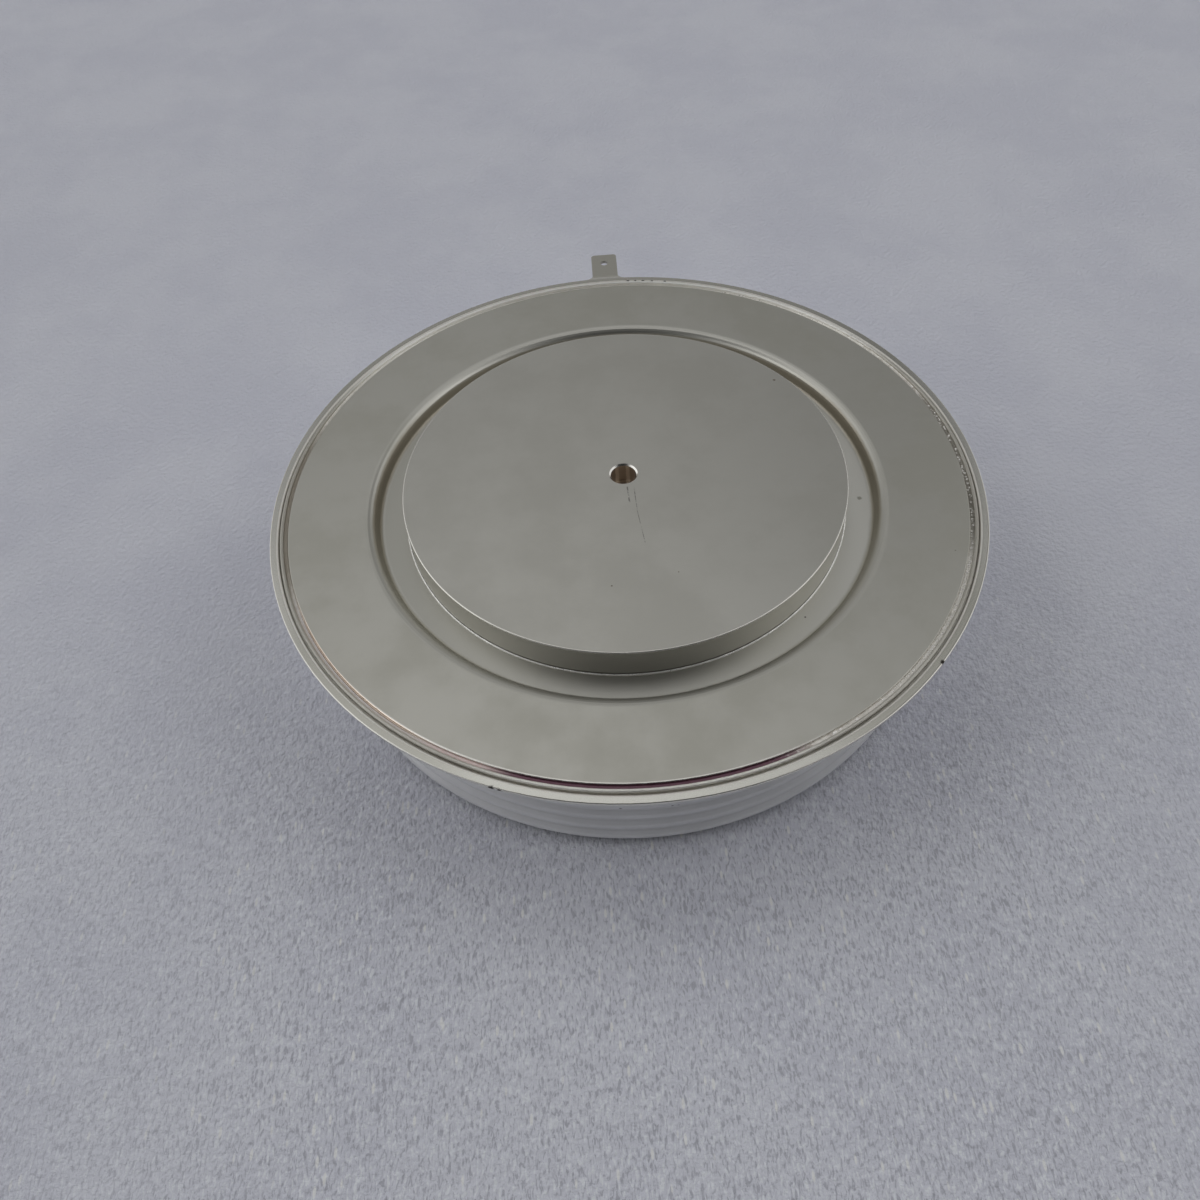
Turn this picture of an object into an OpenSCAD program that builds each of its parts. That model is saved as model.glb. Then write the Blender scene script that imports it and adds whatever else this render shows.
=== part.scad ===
// Disc thyristor in a sealed ceramic press-pack housing, standing on its anode face.
// The current passes straight down through two copper poles and the silicon between them.

/* [Overall] */
// Distance between the two pole faces
housing_h = 28.5; // [28.5:0.5:40]
// Diameter of the outer rim
rim_d = 112; // [111:0.5:124]

/* [Poles] */
// Diameter of the round pole that shows on each side
pole_d = 69.3; // [68.6:0.1:70]
// Rounding of the edge round each pole face
pole_edge = 0.15; // [0.1:0.05:0.6]
// Height of the cathode pole's face above the rim
pole_rise = 3.2; // [2.4:0.1:4]
// Width of the shoulder inside the housing that a sheet flange is brazed to
shoulder_w = 2; // [1.2:0.1:2.4]
// Thickness of that shoulder
shoulder_t = 2; // [1.2:0.1:3]
// Diameter of the cathode pole's inner end
cathode_end_d = 66; // [63:0.5:68]
// Thickness of the anode pole
anode_pole_h = 10.5; // [9:0.1:11]
// Diameter of the locating hole in the middle of each pole face
locating_d = 4; // [3:0.1:5]
// Depth of the locating hole
locating_depth = 3.4; // [2:0.1:4]
// Chamfer round the mouth of the cathode pole's locating hole
locating_chamfer = 0.25; // [0.1:0.05:0.6]

/* [Cathode lid] */
// Thickness of the lid's sheet
lid_t = 0.6; // [0.4:0.05:0.8]
// Height of the lid's flat above the rim
lid_rise = 0.1; // [0:0.05:0.3]
// Diameter at which the lid's flat folds down into the pan round the pole
pan_d = 82.2; // [77.5:0.1:84]
// Depth of the pan below the flat
pan_depth = 2; // [1.6:0.1:2.6]
// Slope of the pan's wall
pan_slope = 62; // [45:1:80]
// Inside radius of the soft bend at the top of the pan's wall
pan_shoulder_bend = 1.2; // [0.4:0.1:1.6]
// Inside radius of the bend at the foot of the pan's wall
pan_bend = 0.6; // [0.2:0.05:0.7]
// Width of the pressed band of the cold weld
weld_band_w = 0.6; // [0.3:0.05:1]
// Depth of the pressed band
weld_band_depth = 0.35; // [0.3:0.01:0.38]
// Height of the lid's round edge above its flat
lid_edge_rise = 0.2; // [0.05:0.05:0.4]
// Gap between the lid's round edge and the rim
lid_edge_gap = 0.2; // [0.15:0.05:0.8]

/* [Weld flange] */
// Thickness of the weld flange's sheet
flange_t = 0.5; // [0.4:0.05:1]
// Width of the raised rim outside the lid
rim_w = 1.4; // [1:0.1:1.8]
// Radius of the bend at the rim's inner edge
rim_bend = 0.25; // [0.1:0.05:0.4]
// Rounding of the rim's cut edge and of the lid's edge at its weld band
rim_edge = 0.15; // [0.05:0.05:0.3]
// Length of the tab beyond the rim
tab_l = 7.5; // [6:0.1:9]
// Fillet at each side of the tab's root
tab_fillet = 1.1; // [0.5:0.1:2]

/* [Push-on blades] */
// Width of the tab and of the gate blade
blade_w = 4.8; // [4:0.1:6.3]
// Diameter of the latch hole in a blade
blade_hole_d = 1.4; // [1:0.1:1.7]
// Distance from a blade's tip to its latch hole
blade_hole_inset = 2.7; // [2:0.1:3.5]
// Rounding of a blade's tip corners
blade_corner = 0.6; // [0.2:0.1:1.2]

/* [Ceramic ring] */
// Bore of the ceramic ring
ceramic_bore_d = 85; // [84.5:0.1:86]
// Diameter over the ribs
crest_d = 99.1; // [98:0.1:102]
// Depth of the grooves between the ribs
rib_depth = 0.9; // [0.5:0.05:1.2]
// Distance from one rib to the next
rib_pitch = 3; // [2.6:0.1:4]
// Plain height below the lowest rib
lower_land = 0.3; // [0.2:0.1:1]
// Least plain height above the highest rib
upper_land = 1; // [0.8:0.1:2]

/* [Anode flange] */
// Thickness of the anode flange's sheet
anode_flange_t = 0.5; // [0.4:0.05:0.6]
// Height of the anode flange above the anode face
anode_recess = 0.8; // [0.5:0.1:1.5]
// Rise of the anode flange inside its fold
anode_pan_depth = 2; // [1.6:0.1:2.4]

/* [Silicon and its plates] */
// Diameter of the plate that carries the silicon
anode_plate_d = 69.1; // [68:0.1:69.2]
// Thickness of the plate that carries the silicon
anode_plate_t = 2.5; // [1.5:0.1:3]
// Diameter of the silicon wafer
wafer_d = 66.8; // [65.5:0.1:67.5]
// Thickness of the wafer
wafer_t = 0.8; // [0.5:0.05:1.2]
// Width of the bevel round the wafer
wafer_bevel = 1; // [0.5:0.1:1.5]
// Height of the rubber seal above the wafer
seal_rise = 0.5; // [0.3:0.1:1]
// Width of wafer that the seal covers inside the bevel
seal_lap = 0.6; // [0.4:0.1:0.9]
// Diameter of the soft contact foil on the wafer
foil_d = 61; // [58:0.5:61.5]
// Thickness of the contact foil
foil_t = 0.2; // [0.1:0.05:0.4]
// Diameter of the cathode plate
cathode_plate_d = 61.6; // [60:0.1:62]
// Thickness of the cathode plate
cathode_plate_t = 1.5; // [1:0.1:2]

/* [Gate contact] */
// Diameter of the hollow in the middle of the cathode pole
gate_hollow_d = 8.4; // [8:0.1:10]
// Depth of that hollow
gate_hollow_depth = 7; // [6.5:0.1:7.5]
// Wall of the insulating cup
cup_wall = 1; // [0.8:0.1:1.1]
// Clearance of the cup above the wafer
cup_lift = 0.5; // [0.3:0.1:0.8]
// Diameter of the contact pin's stem
pin_d = 2; // [1.4:0.1:2.6]
// Thickness of the contact pin's head
pin_head_t = 1.6; // [1.4:0.1:2]
// Diameter of the spring's wire
spring_wire_d = 0.5; // [0.4:0.05:0.6]
// Turns of the spring
spring_turns = 4; // [3:1:5]

/* [Gate lead] */
// Diameter of the gate wire
wire_d = 0.8; // [0.5:0.1:1]
// Diameter of the sleeve over the wire
sleeve_d = 2; // [1.6:0.1:2.4]
// Width and height of the slot for the lead under the cathode pole
slot_w = 3; // [2.6:0.1:3.2]
// Diameter of the metal tube through the ceramic
tube_d = 3; // [2.6:0.1:3.4]
// Wall of that tube
tube_wall = 0.6; // [0.4:0.1:0.8]
// Length of tube beyond its collar
tube_out = 5.5; // [4.5:0.1:6]
// Diameter of the collar brazed to the ceramic round the tube
collar_d = 6.4; // [5.6:0.1:7]
// Thickness of the collar
collar_t = 0.6; // [0.4:0.1:1]
// Wall of the socket that holds the gate blade on the tube
socket_wall = 0.6; // [0.4:0.1:0.8]
// Length of the gate blade beyond its socket
gate_blade_l = 7.5; // [6:0.1:8]

/* [Hidden] */
$fn = 160;

// Clearance round a brazed or pressed fit
braze_gap = 0.05;
// Clearance round a piece that lies loose
loose_gap = 0.3;
// Overshoot of a cutter past the face it cuts
past = 1;
// Straight steps in one small arc
arc_steps = 5;
// Depth that a fillet's circle dips into the two sides it joins
fillet_bite = 0.04;

// Radii of the round pieces
rim_r = rim_d / 2;
pole_r = pole_d / 2;
shoulder_r = pole_r + shoulder_w;
ceramic_bore_r = ceramic_bore_d / 2;
crest_r = crest_d / 2;
root_r = crest_r - rib_depth;
step_r = rim_r - rim_w;
lid_r = step_r - lid_edge_gap;
gate_hollow_r = gate_hollow_d / 2;

// Heights from the anode face up through the housing
rim_z = housing_h - pole_rise;
lid_top_z = rim_z + lid_rise;
lid_seat_z = lid_top_z - lid_t;
ceramic_top_z = lid_seat_z - flange_t;
ceramic_bottom_z = anode_recess + anode_flange_t;
cathode_shoulder_z = lid_seat_z - pan_depth;
anode_shoulder_z = ceramic_bottom_z + anode_pan_depth;

// Heights of the stack between the poles
wafer_z = anode_pole_h + anode_plate_t;
wafer_top_z = wafer_z + wafer_t;
cathode_plate_z = wafer_top_z + foil_t;
cathode_end_z = cathode_plate_z + cathode_plate_t;

// Ribs of the ceramic, each flank made of two equal arcs
first_rib_z = ceramic_bottom_z + lower_land + rib_pitch / 2;
rib_count = floor((ceramic_top_z - upper_land - ceramic_bottom_z - lower_land) / rib_pitch);
rib_arc_r = (pow(rib_pitch / 2, 2) + pow(rib_depth, 2)) / (4 * rib_depth);
rib_flank = asin(rib_pitch / 4 / rib_arc_r);

// Gate contact in its hollow, and the lead that leaves along +Y
gate_z = cathode_end_z + slot_w / 2;
hollow_top_z = cathode_end_z + gate_hollow_depth;
cup_r = gate_hollow_r - braze_gap;
cup_bore_r = cup_r - cup_wall;
cup_roof_z = hollow_top_z - cup_wall;
pin_head_r = cup_bore_r - loose_gap / 2;
pin_head_top_z = gate_z + pin_head_t / 2;
spring_r = pin_head_r - spring_wire_d / 2 - loose_gap;
wire_in_pin = pin_head_r - pin_d / 2;
collar_seat_y = sqrt(pow(root_r, 2) - pow(collar_d / 2 + loose_gap, 2));
tube_inner_y = ceramic_bore_r - loose_gap;
tube_outer_y = collar_seat_y + collar_t + tube_out;
socket_l = tube_out / 2;
socket_end_y = tube_outer_y + socket_wall;
wire_end_y = tube_outer_y - tube_wall - loose_gap;

// Points of an arc round a centre, from one angle to another
function arc(centre, radius, from, to, steps = arc_steps) =
    [for (i = [0 : steps]) centre + radius * [cos(from + (to - from) * i / steps),
                                               sin(from + (to - from) * i / steps)]];

// Radius at which a pan's floor begins, inside a fold at fold_r
function pan_floor_r(fold_r, sheet, depth) =
    let (turn = sheet + pan_shoulder_bend + pan_bend)
    fold_r - turn * sin(pan_slope) - (depth - turn * (1 - cos(pan_slope))) / tan(pan_slope);

// Upper side of a folded sheet from its flat down to its pan, the flat's top being at height 0
function pan_upper_side(fold_r, sheet, depth) =
    concat(arc([fold_r, -sheet - pan_shoulder_bend], pan_shoulder_bend + sheet, 90, 90 + pan_slope),
           arc([pan_floor_r(fold_r, sheet, depth), pan_bend - depth], pan_bend, 270 + pan_slope, 270));

// Under side of the same sheet, from its pan back up to its flat
function pan_under_side(fold_r, sheet, depth) =
    concat(arc([pan_floor_r(fold_r, sheet, depth), pan_bend - depth], pan_bend + sheet, 270, 270 + pan_slope),
           arc([fold_r, -sheet - pan_shoulder_bend], pan_shoulder_bend, 90 + pan_slope, 90));

// Outline of a rib crest and of the groove above it
function rib_crest(z) = arc([crest_r - rib_arc_r, z], rib_arc_r, -rib_flank, rib_flank);
function rib_groove(z, from, to) = arc([root_r + rib_arc_r, z], rib_arc_r, from, to);

// Cathode pole, turned and nickel plated, hollowed underneath for the gate contact and its lead
module cathode_pole() {
    color([0.60, 0.60, 0.57])
    difference() {
        rotate_extrude()
            polygon(concat(
                [[0, cathode_end_z],
                 [cathode_end_d / 2, cathode_end_z],
                 [cathode_end_d / 2, cathode_shoulder_z - shoulder_t],
                 [shoulder_r, cathode_shoulder_z - shoulder_t],
                 [shoulder_r, cathode_shoulder_z],
                 [pole_r, cathode_shoulder_z]],
                arc([pole_r - pole_edge, housing_h - pole_edge], pole_edge, 0, 90),
                [[0, housing_h]]));
        translate([0, 0, housing_h - locating_depth])
            cylinder(d = locating_d, h = locating_depth + past);
        translate([0, 0, housing_h - locating_chamfer])
            cylinder(d1 = locating_d, d2 = locating_d + 2 * (locating_chamfer + past), h = locating_chamfer + past);
        translate([0, 0, cathode_end_z - past])
            cylinder(r = gate_hollow_r, h = gate_hollow_depth + past);
        translate([-slot_w / 2, 0, cathode_end_z - past])
            cube([slot_w, shoulder_r + past, slot_w + past]);
    }
}

// Cathode lid, a pressed sheet: pan round the pole, wide flat, weld band and round outer edge
module cathode_lid() {
    band_out_r = lid_r - lid_t;
    band_in_r = band_out_r - weld_band_w;
    color([0.58, 0.58, 0.55])
    translate([0, 0, lid_top_z])
        rotate_extrude()
            polygon(concat(
                arc([lid_r - lid_t / 2, -lid_t / 2], lid_t / 2, -90, 0),
                arc([lid_r - lid_t / 2, lid_edge_rise - lid_t / 2], lid_t / 2, 0, 180, 2 * arc_steps),
                [[band_out_r, -weld_band_depth],
                 [band_in_r, -weld_band_depth]],
                arc([band_in_r - rim_edge, -rim_edge], rim_edge, 0, 90),
                pan_upper_side(pan_d / 2, lid_t, pan_depth),
                [[pole_r + braze_gap, -pan_depth],
                 [pole_r + braze_gap, -pan_depth - lid_t]],
                pan_under_side(pan_d / 2, lid_t, pan_depth)));
}

// Flat push-on blade pointing along +Y, its root on the X axis
module blade(length) {
    difference() {
        union() {
            translate([-blade_w / 2, -past / 2])
                square([blade_w, length - blade_corner + past / 2]);
            translate([-blade_w / 2 + blade_corner, 0])
                square([blade_w - 2 * blade_corner, length]);
            for (side = [-1, 1])
                translate([side * (blade_w / 2 - blade_corner), length - blade_corner])
                    circle(r = blade_corner);
        }
        translate([0, length - blade_hole_inset])
            circle(d = blade_hole_d);
    }
}

// Weld flange under the lid, stamped with the cathode tab in one piece
module weld_flange() {
    root_x = blade_w / 2 + tab_fillet - fillet_bite;
    root_y = sqrt(pow(rim_r + tab_fillet - fillet_bite, 2) - pow(root_x, 2));
    rim_under_z = rim_z - flange_t;
    cut_edge = min(rim_edge, flange_t / 3); // rounding that the sheet's thickness leaves room for
    color([0.62, 0.62, 0.58]) {
        rotate_extrude()
            polygon(concat(
                [[ceramic_bore_r + loose_gap, lid_seat_z],
                 [ceramic_bore_r + loose_gap, ceramic_top_z],
                 [step_r + flange_t / 2, ceramic_top_z],
                 [step_r + flange_t, rim_under_z]],
                arc([rim_r - cut_edge, rim_under_z + cut_edge], cut_edge, -90, 0),
                arc([rim_r - cut_edge, rim_z - cut_edge], cut_edge, 0, 90),
                arc([step_r + rim_bend, rim_z - rim_bend], rim_bend, 90, 180),
                [[step_r, lid_seat_z]]));
        translate([0, 0, rim_under_z])
            linear_extrude(flange_t) {
                translate([0, rim_r])
                    blade(tab_l);
                difference() {
                    translate([-root_x, rim_r - rim_w / 2])
                        square([2 * root_x, root_y - rim_r + rim_w / 2]);
                    for (side = [-1, 1])
                        translate([side * root_x, root_y])
                            circle(r = tab_fillet);
                }
            }
    }
}

// Ribbed ceramic ring, bored and spot faced at the back for the gate tube
module ceramic_ring() {
    color([0.80, 0.80, 0.80])
    difference() {
        rotate_extrude()
            polygon(concat(
                [[ceramic_bore_r, ceramic_bottom_z],
                 [root_r, ceramic_bottom_z]],
                rib_groove(first_rib_z - rib_pitch / 2, 180, 180 - rib_flank),
                [for (rib = [0 : rib_count - 1])
                    each concat(
                        rib_crest(first_rib_z + rib * rib_pitch),
                        rib_groove(first_rib_z + (rib + 0.5) * rib_pitch,
                            180 + rib_flank,
                            rib == rib_count - 1 ? 180 : 180 - rib_flank))],
                [[root_r, ceramic_top_z],
                 [ceramic_bore_r, ceramic_top_z]]));
        translate([0, 0, gate_z])
            rotate([-90, 0, 0]) {
                cylinder(d = tube_d + 2 * braze_gap, h = crest_r + past);
                translate([0, 0, collar_seat_y])
                    cylinder(r = collar_d / 2 + loose_gap, h = rib_depth + 2 * past);
            }
    }
}

// Anode flange, a pressed sheet that closes the housing round the anode pole
module anode_flange() {
    color([0.58, 0.58, 0.55])
    translate([0, 0, anode_recess])
        mirror([0, 0, 1])
            rotate_extrude()
                polygon(concat(
                    [[root_r - loose_gap, -anode_flange_t],
                     [root_r - loose_gap, 0]],
                    pan_upper_side(pan_d / 2, anode_flange_t, anode_pan_depth),
                    [[pole_r + braze_gap, -anode_pan_depth],
                     [pole_r + braze_gap, -anode_pan_depth - anode_flange_t]],
                    pan_under_side(pan_d / 2, anode_flange_t, anode_pan_depth)));
}

// Anode pole, the thick copper disc that the housing stands on
module anode_pole() {
    color([0.60, 0.60, 0.57])
    difference() {
        rotate_extrude()
            polygon(concat(
                [[0, 0]],
                arc([pole_r - pole_edge, pole_edge], pole_edge, -90, 0),
                [[pole_r, anode_shoulder_z],
                 [shoulder_r, anode_shoulder_z],
                 [shoulder_r, anode_shoulder_z + shoulder_t],
                 [pole_r, anode_shoulder_z + shoulder_t],
                 [pole_r, anode_pole_h],
                 [0, anode_pole_h]]));
        translate([0, 0, -past])
            cylinder(d = locating_d, h = locating_depth + past);
    }
}

// Molybdenum plate that the silicon is alloyed to
module anode_plate() {
    color([0.50, 0.51, 0.53])
    translate([0, 0, anode_pole_h])
        cylinder(d = anode_plate_d, h = anode_plate_t);
}

// Silicon wafer with its bevelled edge
module silicon_wafer() {
    color([0.28, 0.30, 0.36])
    translate([0, 0, wafer_z])
        cylinder(d1 = wafer_d, d2 = wafer_d - 2 * wafer_bevel, h = wafer_t);
}

// Rubber cast round the bevel to seal the silicon's edge
module edge_seal() {
    seal_top_r = wafer_d / 2 - wafer_bevel;
    color([0.75, 0.30, 0.22])
    rotate_extrude()
        polygon([[wafer_d / 2 + braze_gap, wafer_z],
                 [anode_plate_d / 2 - loose_gap, wafer_z],
                 [seal_top_r + braze_gap, wafer_top_z + seal_rise],
                 [seal_top_r - seal_lap, wafer_top_z + seal_rise],
                 [seal_top_r - seal_lap, wafer_top_z],
                 [seal_top_r + braze_gap, wafer_top_z]]);
}

// Flat disc with the hole that the gate contact passes through
module gate_holed_disc(diameter, thickness) {
    difference() {
        cylinder(d = diameter, h = thickness);
        translate([0, 0, -past])
            cylinder(r = gate_hollow_r, h = thickness + 2 * past);
    }
}

// Thin silver foil between the wafer and the cathode plate
module contact_foil() {
    color([0.85, 0.85, 0.83])
    translate([0, 0, wafer_top_z])
        gate_holed_disc(foil_d, foil_t);
}

// Molybdenum plate under the cathode pole
module cathode_plate() {
    color([0.50, 0.51, 0.53])
    translate([0, 0, cathode_plate_z])
        gate_holed_disc(cathode_plate_d, cathode_plate_t);
}

// Plastic ring that centres the anode pole, the plates and the wafer in the ceramic
module locating_ring() {
    foot_z = anode_shoulder_z + shoulder_t;
    color([0.92, 0.92, 0.90])
    rotate_extrude()
        translate([pole_r + loose_gap, foot_z])
            square([ceramic_bore_r - pole_r - 2 * loose_gap, wafer_top_z - foot_z]);
}

// Insulating cup that holds the spring and guides the pin, slotted for the wire
module gate_cup() {
    cup_foot_z = wafer_top_z + cup_lift;
    color([0.93, 0.90, 0.82])
    difference() {
        translate([0, 0, cup_foot_z])
            cylinder(r = cup_r, h = hollow_top_z - cup_foot_z);
        translate([0, 0, cup_foot_z - past])
            cylinder(r = cup_bore_r, h = cup_roof_z - cup_foot_z + past);
        translate([-wire_d / 2 - loose_gap, 0, cup_foot_z - past])
            cube([wire_d + 2 * loose_gap, cup_r + past, gate_z + wire_d / 2 + loose_gap - cup_foot_z + past]);
    }
}

// Points of a small ring round the spring's wire, where the coil stands at an angle
function coil_ring(angle, z, sides) =
    [for (side = [0 : sides - 1])
        let (out = spring_r + spring_wire_d / 2 * cos(360 * side / sides))
        [out * cos(angle), out * sin(angle), z + spring_wire_d / 2 * sin(360 * side / sides)]];

// Compression spring that presses the pin on the wafer
module gate_spring() {
    sides = 8;
    steps = 24 * spring_turns;
    first_z = pin_head_top_z + spring_wire_d / 2;
    climb = cup_roof_z - spring_wire_d / 2 - first_z;
    color([0.70, 0.70, 0.70])
    polyhedron(
        points = [for (i = [0 : steps])
            each coil_ring(-360 * spring_turns * i / steps, first_z + climb * i / steps, sides)],
        faces = concat(
            [[for (side = [0 : sides - 1]) side]],
            [for (i = [0 : steps - 1], side = [0 : sides - 1])
                let (next = (side + 1) % sides)
                [i * sides + side, (i + 1) * sides + side, (i + 1) * sides + next, i * sides + next]],
            [[for (side = [sides - 1 : -1 : 0]) steps * sides + side]]));
}

// Contact pin standing on the middle of the wafer, its head drilled for the wire
module gate_pin() {
    color([0.80, 0.74, 0.60])
    difference() {
        union() {
            translate([0, 0, wafer_top_z])
                cylinder(d = pin_d, h = gate_z - wafer_top_z);
            translate([0, 0, pin_head_top_z - pin_head_t])
                cylinder(r = pin_head_r, h = pin_head_t);
        }
        translate([0, pin_head_r - wire_in_pin, gate_z])
            rotate([-90, 0, 0])
                cylinder(d = wire_d + 2 * braze_gap, h = wire_in_pin + past);
    }
}

// Wire from the contact pin out into the gate tube
module gate_wire() {
    start_y = pin_head_r - wire_in_pin + braze_gap;
    color([0.82, 0.82, 0.80])
    translate([0, start_y, gate_z])
        rotate([-90, 0, 0])
            cylinder(d = wire_d, h = wire_end_y - start_y);
}

// Insulating sleeve over the wire, from the cup to the gate tube
module wire_sleeve() {
    start_y = gate_hollow_r + loose_gap;
    sleeve_l = tube_inner_y - loose_gap - start_y;
    color([0.90, 0.90, 0.88])
    translate([0, start_y, gate_z])
        rotate([-90, 0, 0])
            difference() {
                cylinder(d = sleeve_d, h = sleeve_l);
                translate([0, 0, -past])
                    cylinder(d = wire_d + 2 * braze_gap, h = sleeve_l + 2 * past);
            }
}

// Metal tube that carries the wire through the ceramic, closed at its outer end
module gate_tube() {
    color([0.62, 0.62, 0.58])
    translate([0, tube_inner_y, gate_z])
        rotate([-90, 0, 0])
            difference() {
                cylinder(d = tube_d, h = tube_outer_y - tube_inner_y);
                translate([0, 0, -past])
                    cylinder(d = tube_d - 2 * tube_wall, h = tube_outer_y - tube_inner_y - tube_wall + past);
            }
}

// Collar brazed round the tube on the ceramic's spot face
module gate_collar() {
    color([0.62, 0.62, 0.58])
    translate([0, collar_seat_y, gate_z])
        rotate([-90, 0, 0])
            difference() {
                cylinder(d = collar_d, h = collar_t);
                translate([0, 0, -past])
                    cylinder(d = tube_d + 2 * braze_gap, h = collar_t + 2 * past);
            }
}

// Gate blade, brazed over the tube's outer end by its socket
module gate_blade() {
    color([0.62, 0.62, 0.58]) {
        translate([0, tube_outer_y - socket_l, gate_z])
            rotate([-90, 0, 0])
                difference() {
                    cylinder(d = tube_d + 2 * braze_gap + 2 * socket_wall, h = socket_l + socket_wall);
                    translate([0, 0, -past])
                        cylinder(d = tube_d + 2 * braze_gap, h = socket_l + past);
                }
        translate([0, socket_end_y, gate_z - flange_t / 2])
            linear_extrude(flange_t)
                blade(gate_blade_l);
    }
}

cathode_pole();
cathode_lid();
weld_flange();
ceramic_ring();
anode_flange();
anode_pole();
anode_plate();
silicon_wafer();
edge_seal();
contact_foil();
cathode_plate();
locating_ring();
gate_cup();
gate_spring();
gate_pin();
gate_wire();
wire_sleeve();
gate_tube();
gate_collar();
gate_blade();
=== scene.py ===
# Disc thyristor: finishes, weld grain, floor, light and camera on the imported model
import math

import bpy
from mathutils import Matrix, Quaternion, Vector, noise


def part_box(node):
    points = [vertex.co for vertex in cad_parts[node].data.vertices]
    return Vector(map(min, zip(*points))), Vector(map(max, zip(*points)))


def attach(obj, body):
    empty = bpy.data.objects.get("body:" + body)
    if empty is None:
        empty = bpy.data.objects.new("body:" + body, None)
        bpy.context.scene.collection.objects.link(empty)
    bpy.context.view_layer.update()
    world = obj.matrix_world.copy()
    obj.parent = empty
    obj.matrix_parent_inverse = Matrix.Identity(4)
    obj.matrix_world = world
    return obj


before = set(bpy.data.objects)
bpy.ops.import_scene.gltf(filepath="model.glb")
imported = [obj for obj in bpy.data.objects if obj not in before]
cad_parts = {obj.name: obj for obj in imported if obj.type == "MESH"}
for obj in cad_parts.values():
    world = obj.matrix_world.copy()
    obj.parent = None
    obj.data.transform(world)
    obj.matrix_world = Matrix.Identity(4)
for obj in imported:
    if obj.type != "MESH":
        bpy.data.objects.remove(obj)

# The startup scene's own things go before anything is measured
for leftover in ("Cube", "Light", "Camera"):
    if leftover in bpy.data.objects:
        bpy.data.objects.remove(bpy.data.objects[leftover])

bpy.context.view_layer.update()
scene = bpy.context.scene
mm = 0.001
print("packed model loaded")


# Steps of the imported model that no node's box shows, in mm
modelSteps = {
    "poleShoulder": 2.0,      # how far the pole's shoulder, inside the lid, stands out past its face
    "lidEdge": 0.2,           # how far the lid's round edge stands above its flat
    "pan": 2.0,               # how far the pan's floor lies under the flat
}


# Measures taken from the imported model, in mm
def topOf(node):
    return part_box(node)[1].z / mm


def bottomOf(node):
    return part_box(node)[0].z / mm


def reachOf(node):
    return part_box(node)[1].x / mm


poleTop = topOf("cathode_pole")
poleReach = reachOf("cathode_pole") - modelSteps["poleShoulder"]
lidReach = reachOf("cathode_lid")
lidFlat = topOf("cathode_lid") - modelSteps["lidEdge"]
panFloor = lidFlat - modelSteps["pan"]
rimReach = reachOf("weld_flange")
ceramicReach = reachOf("ceramic_ring")
ceramicTop = topOf("ceramic_ring")
ceramicBottom = bottomOf("ceramic_ring")


# Where the nodes of a tree lie in the editor
nodeGrid = {
    "rows": 6,
    "width": 220,
    "height": 240,
}


# Small helpers for node trees
def feed(tree, socket, value):
    if isinstance(value, bpy.types.NodeSocket):
        tree.links.new(value, socket)
    elif socket.type == "RGBA":
        socket.default_value = (*value[:3], 1.0)
    else:
        socket.default_value = value


def addNode(tree, kind, inputs=None, **settings):
    node = tree.nodes.new("ShaderNode" + kind)
    column, row = divmod(len(tree.nodes), nodeGrid["rows"])
    node.location = (nodeGrid["width"] * column, -nodeGrid["height"] * row)
    for name, value in settings.items():
        setattr(node, name, value)
    for name, value in (inputs or {}).items():
        feed(tree, node.inputs[name], value)
    return node


def calc(tree, operation, *values):
    return addNode(tree, "Math", dict(enumerate(values)), operation=operation).outputs[0]


def vectorCalc(tree, operation, *values):
    node = addNode(tree, "VectorMath", dict(enumerate(values)), operation=operation)
    return node.outputs["Value" if operation in ("LENGTH", "DOT_PRODUCT", "DISTANCE") else "Vector"]


def scaled(tree, vector, factor):
    node = addNode(tree, "VectorMath", {0: vector, "Scale": factor}, operation="SCALE")
    return node.outputs["Vector"]


def ramp(tree, value, low, high, start=0.0, end=1.0):
    settings = {"Value": value, "From Min": low, "From Max": high, "To Min": start, "To Max": end}
    return addNode(tree, "MapRange", settings, interpolation_type="SMOOTHSTEP").outputs["Result"]


def mixColor(tree, mask, first, second):
    node = addNode(tree, "Mix", {0: mask}, data_type="RGBA")
    feed(tree, node.inputs[6], first)      # a Mix node's colour sockets come after its number sockets
    feed(tree, node.inputs[7], second)
    return node.outputs[2]


def mixValue(tree, mask, first, second):
    return addNode(tree, "Mix", {0: mask, 2: first, 3: second}, data_type="FLOAT").outputs[0]


def startGroup(name, inputs, outputs):
    tree = bpy.data.node_groups.new(name, "ShaderNodeTree")
    for label, kind, value in inputs:
        socket = tree.interface.new_socket(label, in_out="INPUT", socket_type="NodeSocket" + kind)
        if value is not None:
            socket.default_value = value
    for label, kind in outputs:
        tree.interface.new_socket(label, in_out="OUTPUT", socket_type="NodeSocket" + kind)
    return tree, tree.nodes.new("NodeGroupInput").outputs, tree.nodes.new("NodeGroupOutput").inputs


def useGroup(tree, group, inputs=None):
    node = addNode(tree, "Group", node_tree=group)
    for name, value in (inputs or {}).items():
        feed(tree, node.inputs[name], value)
    return node.outputs


noiseMiddle = 0.5      # what a noise texture varies about

# What the shader groups have in common on every material
groupLook = {
    "marksContrast": (0.25, 0.75),
    "scratchShows": (0.35, 0.6),      # it fades out where the noise is low
    "coreShare": 0.4,                 # the full part of a scratch or a spot
    "speckCoreShare": 0.5,
}


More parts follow.
